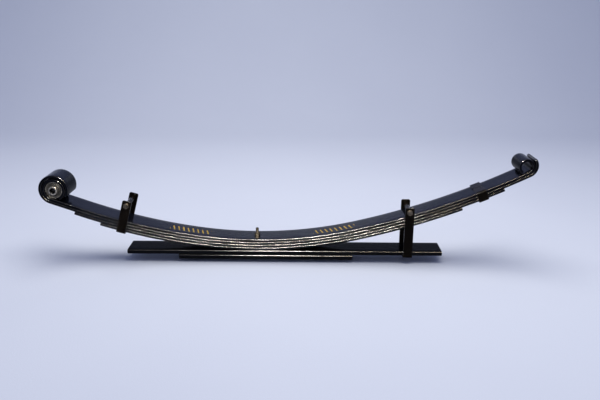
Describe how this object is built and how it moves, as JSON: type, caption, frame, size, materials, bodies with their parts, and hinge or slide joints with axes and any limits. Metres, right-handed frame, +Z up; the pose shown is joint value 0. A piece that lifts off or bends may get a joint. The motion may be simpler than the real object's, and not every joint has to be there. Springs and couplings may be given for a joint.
{
  "type": "leaf spring",
  "caption": "Truck leaf spring: arched leaves with a rolled eye at each end and a bush in the front one, flat helper leaves below, rebound clips and a centre bolt.",
  "frame": {"origin": "middle of the underside of the lower helper leaf, on the centre bolt's axis, where the axle's seat meets it", "axes": "+X along the spring to the rear (plain) eye, +Y across the leaves, +Z up, away from the axle"},
  "size_m": [1.2664, 0.0967, 0.283],
  "materials": {
    "leaf_paint": "gloss black paint over rolled spring steel",
    "clip_paint": "satin black paint over bent strip",
    "clip_fastener": "black, rubbed bright on the corners",
    "tube_steel": "dull drawn tube, painted over",
    "centre_fastener": "yellow-brown passivated steel",
    "bush_steel": "dull pressed steel",
    "sleeve_steel": "bright turned steel",
    "bush_rubber": "matte moulded rubber"
  },
  "bodies": {
    "leaf_pack": {"main_leaf": "leaf_paint", "wrapper_leaf": "leaf_paint", "third_leaf": "leaf_paint", "fourth_leaf": "leaf_paint", "upper_helper_leaf": "leaf_paint", "lower_helper_leaf": "leaf_paint", "centre_bolt": "centre_fastener", "centre_nut": "centre_fastener", "tall_clip_strap": "clip_paint", "tall_clip_rivet": "clip_paint", "tall_clip_bolt": "clip_fastener", "tall_clip_nut": "clip_fastener"},
    "front_end": {"bush_outer_shell": "bush_steel", "bush_rubber": "bush_rubber", "front_clip_strap": "clip_paint", "front_clip_rivet": "clip_paint", "front_clip_bolt": "clip_fastener", "front_clip_nut": "clip_fastener"},
    "bush_sleeve": {"bush_inner_sleeve": "sleeve_steel"},
    "front_clip_tube": {"front_clip_spacer_tube": "tube_steel"},
    "tall_clip_tube": {"tall_clip_spacer_tube": "tube_steel"},
    "rear_end": {"folded_clip": "clip_paint", "folded_clip_rivet": "clip_paint"}
  },
  "joints": [
    {"name": "front_flex", "type": "hinge", "parent": "leaf_pack", "child": "front_end", "pos_m": [-0.18, 0, 0.06], "axis": [0, -1, 0], "range_deg": [0, 13], "stiffness_Nm_per_rad": 1800, "deforming": ["main_leaf", "wrapper_leaf", "third_leaf", "fourth_leaf"]},
    {"name": "rear_flex", "type": "hinge", "parent": "leaf_pack", "child": "rear_end", "pos_m": [0.28, 0, 0.077], "axis": [0, 1, 0], "range_deg": [0, 13], "stiffness_Nm_per_rad": 2600, "deforming": ["main_leaf", "wrapper_leaf", "third_leaf", "fourth_leaf"]},
    {"name": "bush_twist", "type": "hinge", "parent": "front_end", "child": "bush_sleeve", "pos_m": [-0.5162, 0, 0.18378], "axis": [0, 1, 0], "range_deg": [-20, 20], "stiffness_Nm_per_rad": 60},
    {"name": "front_tube_spin", "type": "hinge", "parent": "front_end", "child": "front_clip_tube", "pos_m": [-0.33142, 0, 0.14584], "axis": [0, 1, 0], "continuous": true},
    {"name": "tall_tube_spin", "type": "hinge", "parent": "leaf_pack", "child": "tall_clip_tube", "pos_m": [0.3935, 0, 0.13335], "axis": [0, 1, 0], "continuous": true}
  ]
}
